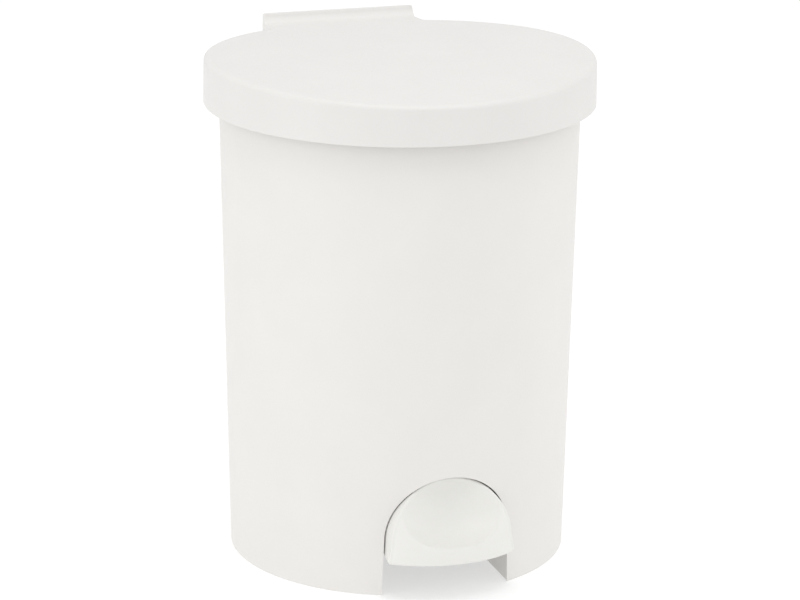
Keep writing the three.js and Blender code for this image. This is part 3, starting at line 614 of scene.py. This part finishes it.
def lid_outline(inset):
    """Plan outline as (x, y, height of the wall's lower edge): a circle with the hood at its back."""
    radius = LID_R - inset
    half = HOOD_HALF_W - inset
    back = HOOD_Y - AXIS_Y - inset
    blend = HOOD_BLEND_R + inset
    corner = max(HOOD_CORNER_R - inset, LEAST_CORNER_R)
    centre_x = half + blend
    centre_y = math.sqrt((radius + blend) ** 2 - centre_x ** 2)
    meet = math.degrees(math.atan2(centre_y, centre_x))
    straight_end = back - corner
    step_at = math.degrees(math.acos((HOOD_HALF_W + SKIRT_STEP_OUT + SKIRT_STEP_RUN) / radius))
    plan = arc(0, 0, radius, -90, step_at, 180) + arc(0, 0, radius, step_at, meet, 30)[1:]
    plan += arc(centre_x, centre_y, blend, 180 + meet, 180, 12)[1:]
    plan += [(half, y) for y in np.linspace(centre_y, straight_end, 34)[1:-1]]
    plan += arc(half - corner, straight_end, corner, 0, 90, 10)
    plan += [(x, back) for x in np.linspace(half - corner, 0, 60)[1:]]
    half_loop = [(x, y, lid_low_edge(x, y)) for x, y in plan]
    return half_loop + [(-x, y, z) for x, y, z in half_loop[-2:0:-1]]


def lid_height(y, inset):
    """Height of the lid's skin at a distance behind the body's axis: the arch, then the ridge."""
    ridge_front = HOOD_Y - AXIS_Y - RIDGE_T
    start = ridge_front - RIDGE_FILLET_R
    if inset > 0 or y <= start:
        return LID_TOP - lid_fall(min(y, start)) - inset
    run = min((y - start) / RIDGE_FILLET_R, 0.999)
    rise = RIDGE_FILLET_R * (1 - math.sqrt(1 - run * run))
    crest = RIDGE_H - rise
    soft = RIDGE_SOFT
    blend = max(soft - abs(crest), 0) / soft
    return LID_TOP - lid_fall(start) + min(rise, RIDGE_H) - blend * blend * soft / 4


def lid_skin(inset):
    """Loops of points from the middle of the top out to the wall's lower edge."""
    outline = lid_outline(inset)
    count = len(outline)
    edge_r = []
    for x, y, _ in outline:
        in_hood = y > math.sqrt(max(0.0, (LID_R - inset) ** 2 - x * x)) + HOOD_MARGIN
        edge_r.append(HOOD_EDGE_R if in_hood else LID_EDGE_R)
    for _ in range(6):
        edge_r = [(edge_r[i - 1] + edge_r[i] * 2 + edge_r[(i + 1) % count]) / 4 for i in range(count)]
    edge_r = [max(r - inset, LEAST_EDGE_R) for r in edge_r]
    normals = outline_normals(outline)
    loops = []
    flat = [(p[0] - n.x * r, p[1] - n.y * r) for p, n, r in zip(outline, normals, edge_r)]
    shares = [*np.linspace(0.002, 0.84, 26), *np.linspace(0.845, 1.0, 64)]
    for share in shares:
        loops.append([(x * share, AXIS_Y + y * share, lid_height(y * share, inset)) for x, y in flat])
    for k in range(1, 8):
        turn = math.pi / 2 * k / 7
        loop = []
        for (x, y, low), n, r, (fx, fy) in zip(outline, normals, edge_r, flat):
            out = r * math.sin(turn)
            down = r * (1 - math.cos(turn))
            loop.append((fx + n.x * out, AXIS_Y + fy + n.y * out, lid_height(fy, inset) - down))
        loops.append(loop)
    start = loops[-1]
    for share in (0.12, 0.3, 0.5, 0.7, 0.88, 1.0):
        loop = []
        for (x, y, low), n, (sx, sy, sz) in zip(outline, normals, start):
            out = SKIRT_DRAFT * share
            loop.append((sx + n.x * out, sy + n.y * out, sz + (low - sz) * share))
        loops.append(loop)
    return loops


def lid_ear(side, roof):
    """An ear round the hinge pin, hung from the lid's underside."""
    radius = KNUCKLE_R
    outline = arc(HINGE_Y, HINGE_Z, radius, -180, 0, 24)
    outline += [(HINGE_Y + radius, roof), (HINGE_Y - radius, roof)]
    ear = side_prism("ear", outline, side, EAR_X, EAR_X + EAR_T)
    return bevelled(boolean(ear, hinge_hole(side), "DIFFERENCE"), CUT_EDGE)


def lift_plate(roof):
    """The plate that the push rod's roller lifts. Its lower edge is level when the lid is half open."""
    half_open = math.radians(JOINTS["lid_hinge"]["range_deg"][1] / 2)
    along, across = math.cos(half_open), math.sin(half_open)

    def edge(distance):
        return (HINGE_Y - distance * along - PLATE_CLEAR * across,
                HINGE_Z - distance * across + PLATE_CLEAR * along)

    rear = AXIS_Y + BODY_TOP_R - BODY_WALL - PLATE_WALL_GAP
    near = (HINGE_Y - rear - PLATE_CLEAR * across) / along
    tip = edge((HINGE_Y - ROD_Y) / along + PLATE_PAST)
    outline = [
        (rear, roof), edge(near), tip,
        (tip[0] - PLATE_CHAMFER, tip[1] + PLATE_CHAMFER_H),
        (tip[0] - PLATE_LEAN, roof),
    ]
    middle = (ROLLER_LOW.x + ROLLER_HIGH.x) / 2
    plate = prism("plate", outline, "x", middle - PLATE_T / 2, middle + PLATE_T / 2)
    return bevelled(plate, KNUCKLE_EDGE)


def lid_fittings():
    roof = LID_TOP - lid_fall(HINGE_Y - AXIS_Y) - LID_WALL + FITTING_SINK
    return [lid_ear(-1, roof), lid_ear(1, roof), lift_plate(roof)]


def lid():
    outer = lid_skin(0)
    inner = lid_skin(LID_WALL)
    shell = closed_loops("lid_shell", outer + inner[::-1])
    piece = joined("lid_shell_and_ears", [shell, *lid_fittings()])
    return finished(smooth(piece, 38), "lid", LID_SHADED_WHITE, "white_plastic", "lid")


# ---------------------------------------------------------------- pedal
def flared(point):
    """Moves a point of the pedal outwards: its lower corners stand out further towards the nose."""
    x, y, z = point
    low = max((OPENING_Z - z) / (OPENING_Z - PEDAL_BOTTOM_Z), 0)
    side_y = AXIS_Y - math.sqrt(body_radius(PEDAL_BOTTOM_Z) ** 2 - OPENING_R ** 2)
    return x + x / PEDAL_R * low * (PEDAL_SIDE_OUT + PEDAL_FLARE * (side_y - y)), y, z


def pedal_front(x, z):
    """How far forward the pedal's skin lies, with the toe scoop taken out of its round nose."""
    lip = PEDAL_BOTTOM_Z + PEDAL_LIP_H
    up = max(0.0, z - lip)
    nose = NOSE_CENTRE_Y - math.sqrt(max(NOSE_R ** 2 - x * x - up * up, 1e-9))
    inside = 1 - (x / SCOOP_HALF_W) ** 2 - ((z - OPENING_Z - SCOOP_UP) / SCOOP_R) ** 2
    if inside <= 0:
        return nose
    scoop = PEDAL_LOW.y - SCOOP_FORWARD + SCOOP_R * math.sqrt(inside)
    k = SCOOP_SOFT
    mix = max(k - abs(nose - scoop), 0) / k
    return max(nose, scoop) + mix * mix * k / 4


def pedal_outline(steps=120):
    """The pedal seen from the front: an arch with rounded lower corners, anticlockwise."""
    radius = PEDAL_R
    corner = PEDAL_CORNER_R
    low = PEDAL_BOTTOM_Z
    upper = arc(0, OPENING_Z, radius, 0, 180, steps)
    sides = [(-radius, z) for z in np.linspace(OPENING_Z, low + corner, 12)[1:]]
    left = arc(-radius + corner, low + corner, corner, 180, 270, 6)[1:]
    bottom = [(x, low) for x in np.linspace(-radius + corner, radius - corner, 72)[1:-1]]
    right = arc(radius - corner, low + corner, corner, 270, 360, 6)
    rise = [(radius, z) for z in np.linspace(low + corner, OPENING_Z, 12)[1:-1]]
    return upper + sides + left + bottom + right + rise


def pedal_skin():
    """Loops from the middle of the front face, over its rounded edge, and back along its sides."""
    outline = pedal_outline()
    normals = outline_normals(outline)
    flat = [(x - n.x * PEDAL_EDGE_R, z - n.y * PEDAL_EDGE_R) for (x, z), n in zip(outline, normals)]
    middle = Vector((0, FACE_MIDDLE_Z))
    loops = []
    for share in np.linspace(0.01, 1, FACE_LOOPS):
        loop = []
        for x, z in flat:
            px, pz = middle.x + (x - middle.x) * share, middle.y + (z - middle.y) * share
            loop.append((px, pedal_front(px, pz), pz))
        loops.append(loop)
    for k in range(1, 7):
        turn = math.pi / 2 * k / 6
        out, back = PEDAL_EDGE_R * math.sin(turn), PEDAL_EDGE_R * (1 - math.cos(turn))
        loops.append([
            (x + n.x * out, pedal_front(x, z) + back, z + n.y * out)
            for (x, z), n in zip(flat, normals)])
    return loops, normals


def pedal():
    """A hollow cap: its face, its sides back to the opening, and the same again one wall inside."""
    loops, normals = pedal_skin()
    face_loops = loops[:FACE_LOOPS]
    rim = loops[-1]
    ends = []
    for x, y, z in rim:
        under = z < PEDAL_BOTTOM_Z + BACK_EDGE_TOLERANCE
        ends.append(y + PEDAL_HEM if under else PEDAL_HIGH.y)
    for _ in range(2):
        ends = [(ends[i - 1] + 2 * ends[i] + ends[(i + 1) % len(ends)]) / 4 for i in range(len(ends))]
    for share in (0.1, 0.4, 0.7, 0.97, 1.0):
        loops.append([(x, y + (end - y) * share, z) for (x, y, z), end in zip(rim, ends)])
    for share in (1.0, 0.6, 0.2, 0.0):
        loop = []
        for (x, y, z), end, n in zip(rim, ends, normals):
            start = y + PEDAL_WALL
            here = max(start + (end - start) * share, start)
            loop.append((x - n.x * PEDAL_WALL, here, z - n.y * PEDAL_WALL))
        loops.append(loop)
    for loop in face_loops[::-5]:
        loops.append([
            (x * PEDAL_INNER_SHARE, y + PEDAL_WALL, OPENING_Z + (z - OPENING_Z) * PEDAL_INNER_SHARE)
            for x, y, z in loop])
    shell = closed_loops("pedal_shell", [[flared(point) for point in loop] for loop in loops])
    return finished(smooth(shell, 50), "pedal", PEDAL_WHITE, "pedal_plastic", "pedal")


# ---------------------------------------------------------------- inner bucket and its handle
def bucket_outline(radius, flat_y, steps=160):
    """A circle with its back cut flat and the two corners rounded, anticlockwise round the axis."""
    flat = flat_y - AXIS_Y
    corner = BUCKET_CORNER_R
    centre_y = flat - corner
    centre_x = math.sqrt((radius - corner) ** 2 - centre_y ** 2)
    meet = math.degrees(math.atan2(centre_y, centre_x))
    half = arc(0, 0, radius, -90, meet, steps)
    half += arc(centre_x, centre_y, corner, meet, 90, 12)[1:]
    half += [(x, flat) for x in np.linspace(centre_x, 0, 24)[1:]]
    return half + [(-x, y) for x, y in half[-2:0:-1]]


def bucket_loop(z, out):
    """The bucket's outline at a height, moved out from its wall."""
    share = (BUCKET_HIGH.z - z) / (BUCKET_HIGH.z - BUCKET_LOW.z)
    radius = BEAD_TOP_R - BEAD_OUT - BUCKET_TAPER * share + out
    return [(x, AXIS_Y + y, z) for x, y in bucket_outline(radius, BUCKET_HIGH.y - BEAD_OUT + out)]


def bail_ear(side):
    """A boss on the bucket's wall for one end of the handle."""
    boss = side_prism("boss", circle(AXIS_Y, BAIL_Z, BOSS_R, 45), side, BAIL_WALL_X - BOSS_SINK, BOSS_END_X)
    hole = side_prism("hole", circle(AXIS_Y, BAIL_Z, BOSS_HOLE_R, 24), side, *BOSS_CUT)
    return bevelled(boolean(boss, hole, "DIFFERENCE"), BOSS_EDGE)


def inner_bucket():
    """Loops from the middle of the floor's underside, up the outside, over the bead and down the inside."""
    top, low = BUCKET_HIGH.z, BUCKET_LOW.z
    bead_low = top - BUCKET_BEAD_H
    inner_low = low + BUCKET_WALL
    foot, inner_foot = BUCKET_FOOT_R, BUCKET_INNER_FOOT_R
    quarter = [math.radians(a) for a in range(0, 91, 15)]
    loops = [bucket_loop(low, -BUCKET_FLOOR_IN), bucket_loop(low, -foot - 0.5 * MM)]
    loops += [bucket_loop(low + foot * (1 - math.cos(t)), -foot * (1 - math.sin(t))) for t in quarter]
    loops += [bucket_loop(z, 0) for z in np.linspace(low + 14 * MM, bead_low, 14)]
    loops += [bucket_loop(bead_low + 0.3 * MM, BEAD_OUT * 0.8), bucket_loop(bead_low + 0.8 * MM, BEAD_OUT)]
    loops += [bucket_loop(top - 0.9 * MM, BEAD_OUT), bucket_loop(top - 0.25 * MM, BEAD_OUT * 0.7)]
    loops += [bucket_loop(top, BEAD_OUT * 0.2), bucket_loop(top, -BUCKET_WALL * 0.6)]
    loops += [bucket_loop(top - 0.4 * MM, -BUCKET_WALL)]
    loops += [bucket_loop(z, -BUCKET_WALL) for z in np.linspace(top - 3 * MM, low + 12 * MM, 12)]
    loops += [
        bucket_loop(
            inner_low + inner_foot * (1 - math.sin(t)),
            -BUCKET_WALL - inner_foot * (1 - math.cos(t)))
        for t in quarter]
    loops += [bucket_loop(inner_low, -BUCKET_FLOOR_IN)]
    parts = [closed_loops("bucket_shell", loops), bail_ear(-1), bail_ear(1)]
    piece = joined("bucket_liner", parts)
    return finished(smooth(piece, 40), "bin", LINER_WHITE, "liner_plastic", "inner_bucket")


def bail_path(radius, bend, end_x, steps=96):
    """Half a circle round the front of the bucket, with both ends turned in to its ears."""
    first = math.asin(bend / radius)
    points = [(-end_x, 0), *[(-x, y) for x, y in arc(radius - bend, -bend, bend, 90, 10, 8)]]
    points += [(-radius * math.cos(t), -radius * math.sin(t))
               for t in np.linspace(first * 1.1, math.pi - first * 1.1, steps)]
    points += [(x, y) for x, y in arc(radius - bend, -bend, bend, 10, 90, 8)] + [(end_x, 0)]
    return [(x, AXIS_Y + y, BAIL_Z) for x, y in points]


def bucket_handle():
    path = bail_path(BAIL_HIGH.x - BAIL_WIRE_R, BAIL_BEND_R, BAIL_WALL_X - BUCKET_WALL)
    wire = tube("handle_wire", path, BAIL_WIRE_R, 20)
    return finished(smooth(wire, 50), "handle", CROSS_STEEL, "steel", "bucket_handle")


def handle_grip():
    """A moulded sleeve with finger ribs and rounded collars at its ends."""
    grip_r = (GRIP_HIGH.z - GRIP_LOW.z) / 2
    radius = AXIS_Y - GRIP_LOW.y - grip_r
    half = math.asin(GRIP_HIGH.x / (radius + grip_r))
    loops = []
    for i in range(GRIP_STEPS + 1):
        share = i / GRIP_STEPS
        turn = -math.pi / 2 + half * (2 * share - 1)
        from_end = min(share, 1 - share) * GRIP_STEPS
        ribbed_r = grip_r * (0.86 + 0.07 * math.cos(2 * math.pi * share * GRIP_RIBS))
        local = grip_r if from_end < GRIP_COLLAR_STEPS else ribbed_r
        if from_end < 2:
            local = grip_r * (0.8 + 0.1 * from_end)
        centre = Vector((radius * math.cos(turn), AXIS_Y + radius * math.sin(turn), BAIL_Z))
        out = Vector((math.cos(turn), math.sin(turn), 0))
        loops.append([
            centre + local * (out * math.cos(t) + Vector((0, 0, 1)) * math.sin(t))
            for t in (2 * math.pi * k / 28 for k in range(28))])
    grip = closed_loops("grip_sleeve", loops)
    return finished(smooth(grip, 50), "handle", NYLON, "nylon", "handle_grip")


# ---------------------------------------------------------------- small pieces
def turned_x(name, profile, y, z, steps=48):
    """Turns a closed outline of (radius, x) round a line along X."""
    loops = []
    for i in range(steps):
        turn = 2 * math.pi * i / steps
        loops.append([(x, y + r * math.cos(turn), z + r * math.sin(turn)) for r, x in profile])
    return closed_loops(name, loops, close=True)


def pin(name, node, body, finish):
    """A straight pin with chamfered ends, as long and as thick as its node."""
    low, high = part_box(node)
    radius = (high.z - low.z) / 2
    y, z = (low.y + high.y) / 2, (low.z + high.z) / 2
    edge = PIN_EDGE
    profile = [
        (NEAR_AXIS, low.x), (radius - edge, low.x), (radius, low.x + edge),
        (radius, high.x - edge), (radius - edge, high.x), (NEAR_AXIS, high.x),
    ]
    piece = turned_x(name, profile, y, z)
    return finished(smooth(piece, 30), body, finish, "steel", node)


def push_rod():
    """An upright wire with both ends turned in along +X."""
    bend = ROD_BEND_R
    low_z, high_z = ROD_LOW.z + ROD_R, ROD_HIGH.z - ROD_R
    path = [(LOW_CLIP_HIGH.x + ROD_END, ROD_Y, low_z)]
    path += [(x, ROD_Y, z) for x, z in arc(bend, low_z + bend, bend, 270, 180, 12)]
    path += [(0, ROD_Y, z) for z in np.linspace(low_z + 2 * bend, high_z - 2 * bend, 12)]
    path += [(x, ROD_Y, z) for x, z in arc(bend, high_z - bend, bend, 180, 90, 12)]
    path += [(ROD_HIGH.x, ROD_Y, high_z)]
    rod = tube("rod_wire", path, ROD_R, 24)
    return finished(smooth(rod, 50), "push_rod", ROD_STEEL, "steel", "push_rod")


def roller():
    inner, outer = ROLLER_HOLE_R, (ROLLER_HIGH.z - ROLLER_LOW.z) / 2
    low, high, edge = ROLLER_LOW.x, ROLLER_HIGH.x, ROLLER_EDGE
    profile = [
        (inner, low), (outer - edge, low), (outer, low + edge),
        (outer, high - edge), (outer - edge, high), (inner, high),
    ]
    z = (ROLLER_LOW.z + ROLLER_HIGH.z) / 2
    piece = turned_x("roller_sleeve", profile, ROD_Y, z)
    return finished(smooth(piece, 30), "push_rod", NYLON, "nylon", "rod_roller")


def clip(node, body, bore):
    """A push-on washer with teeth that grip its shaft."""
    low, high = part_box(node)
    y, z = (low.y + high.y) / 2, (low.z + high.z) / 2
    outside = circle(y, z, (high.z - low.z) / 2 - CLIP_TRIM, CLIP_STEPS)
    inside = []
    for i in range(CLIP_STEPS):
        turn = 2 * math.pi * i / CLIP_STEPS
        between = i % (CLIP_STEPS // CLIP_TEETH) in (0, 1)
        radius = bore + (CLIP_TOOTH_GAP if between else CLIP_TRIM)
        inside.append((y + radius * math.cos(turn), z + radius * math.sin(turn)))
    left, right = low.x + CLIP_SIDE_TRIM, high.x - CLIP_SIDE_TRIM
    rings = [(inside, left), (outside, left), (outside, right), (inside, right)]
    loops = [list(points) for points in zip(*[[(x, u, v) for u, v in ring] for ring, x in rings])]
    piece = closed_loops(node + "_washer", loops, close=True)
    return finished(smooth(piece, 35), body, CLIP_STEEL, "lever_steel", node)


def buffer(node):
    """A round rubber pad on a stem."""
    low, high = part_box(node)
    x, y = (low.x + high.x) / 2, (low.y + high.y) / 2
    radius = (high.x - low.x) / 2
    cap = high.z - BUFFER_CAP_H
    profile = [
        (NEAR_AXIS, low.z), (BUFFER_STEM_R - BUFFER_STEM_EDGE, low.z),
        (BUFFER_STEM_R, low.z + BUFFER_STEM_EDGE), (BUFFER_STEM_R, cap),
        (radius - BUFFER_CAP_EDGE, cap), (radius, cap + BUFFER_CAP_EDGE),
        (radius, high.z), (NEAR_AXIS, high.z),
    ]
    loops = []
    for i in range(40):
        turn = 2 * math.pi * i / 40
        loops.append([(x + r * math.cos(turn), y + r * math.sin(turn), z) for r, z in profile])
    piece = closed_loops(node + "_pad", loops, close=True)
    return finished(smooth(piece, 40), "lid", BUFFER_RUBBER, "rubber", node)


# ---------------------------------------------------------------- build
outer_body()
lid()
pedal()
inner_bucket()
bucket_handle()
handle_grip()
push_rod()
roller()
pin("hinge_rod", "hinge_pin", "bin", CROSS_STEEL)
pin("axle_rod", "pedal_axle", "bin", CROSS_STEEL)
for node in ("axle_clip_left", "axle_clip_right"):
    clip(node, "bin", AXLE_R)
for node in ("rod_clip_top", "rod_clip_bottom"):
    clip(node, "push_rod", ROD_R)
for place in ("front", "left", "right"):
    buffer("lid_buffer_" + place)
dressed("pedal_lever", LEVER_STEEL)
for place in ("front", "rear"):
    dressed("pedal_screw_" + place, ROD_STEEL)
for place in ("lower", "upper"):
    dressed("rod_guide_" + place, NYLON)


# ---------------------------------------------------------------- floor, light and camera
def floor():
    """A pale floor that glows a little, so that it fades into the white world behind it."""
    mesh = bpy.data.meshes.new("floor")
    size = FLOOR_HALF
    corners = [(-size, -size, 0), (size, -size, 0), (size, size, 0), (-size, size, 0)]
    mesh.from_pydata(corners, [], [(0, 1, 2, 3)])
    ground = bpy.data.objects.new("floor", mesh)
    bpy.context.collection.objects.link(ground)
    made, tree, shader = material("floor", (FLOOR_GREY,) * 3, 0.9)
    shader.inputs["Emission Color"].default_value = (1, 1, 1, 1)
    shader.inputs["Emission Strength"].default_value = FLOOR_GLOW
    haze = spread(tree, noise(tree, 3, 2.0), 0, 1)
    vary_color(tree, shader, haze, (FLOOR_GREY - 0.005,) * 3, (FLOOR_GREY + 0.005,) * 3)
    mesh.materials.append(made)


def soft_box(name, place, target, size, power):
    data = bpy.data.lights.new(name, "AREA")
    data.shape = "RECTANGLE"
    data.size, data.size_y = size
    data.energy = power
    lamp = bpy.data.objects.new(name, data)
    lamp.location = place
    lamp.rotation_euler = (Vector(target) - Vector(place)).to_track_quat("-Z", "Y").to_euler()
    bpy.context.collection.objects.link(lamp)


def world(strength):
    scene_world = bpy.data.worlds.new("studio")
    scene_world.use_nodes = True
    sky = scene_world.node_tree.nodes["Background"]
    sky.inputs["Color"].default_value = (1, 1, 1, 1)
    sky.inputs["Strength"].default_value = strength
    bpy.context.scene.world = scene_world


def camera():
    """The camera looks at the body's axis from the front left, a little above."""
    azimuth, elevation, roll = (math.radians(angle) for angle in (VIEW_AZIMUTH, VIEW_ELEVATION, VIEW_ROLL))
    back = Vector((math.sin(azimuth) * math.cos(elevation), -math.cos(azimuth) * math.cos(elevation),
                   math.sin(elevation)))
    right = Vector((math.cos(azimuth), math.sin(azimuth), 0))
    up = back.cross(right)
    rolled_right = math.cos(roll) * right + math.sin(roll) * up
    rolled_up = math.cos(roll) * up - math.sin(roll) * right
    target = Vector((0, AXIS_Y, 0)) + right * VIEW_RIGHT + Vector((0, 0, VIEW_UP))
    data = bpy.data.cameras.new("camera")
    data.sensor_width = 36
    data.lens = VIEW_LENS
    view = bpy.data.objects.new("camera", data)
    axes = Matrix((rolled_right, rolled_up, back)).transposed()
    view.matrix_world = Matrix.Translation(target + back * VIEW_DISTANCE) @ axes.to_4x4()
    bpy.context.collection.objects.link(view)
    bpy.context.scene.camera = view


floor()
camera()
world(WORLD_LIGHT)
soft_box("side_left", (-1.9, -0.5, 0.7), (0, 0, 0.18), (1.0, 1.6), 5.5)
soft_box("side_right", (1.9, -0.6, 0.7), (0, 0, 0.18), (1.0, 1.6), 4.5)
soft_box("top", (0, 0.3, 2.3), (0, 0, 0.3), (1.8, 1.4), 7)
soft_box("front", (-0.2, -0.95, 2.2), (0, 0, 0.15), (1.2, 0.8), 7)
bpy.context.scene.view_settings.view_transform = "Standard"
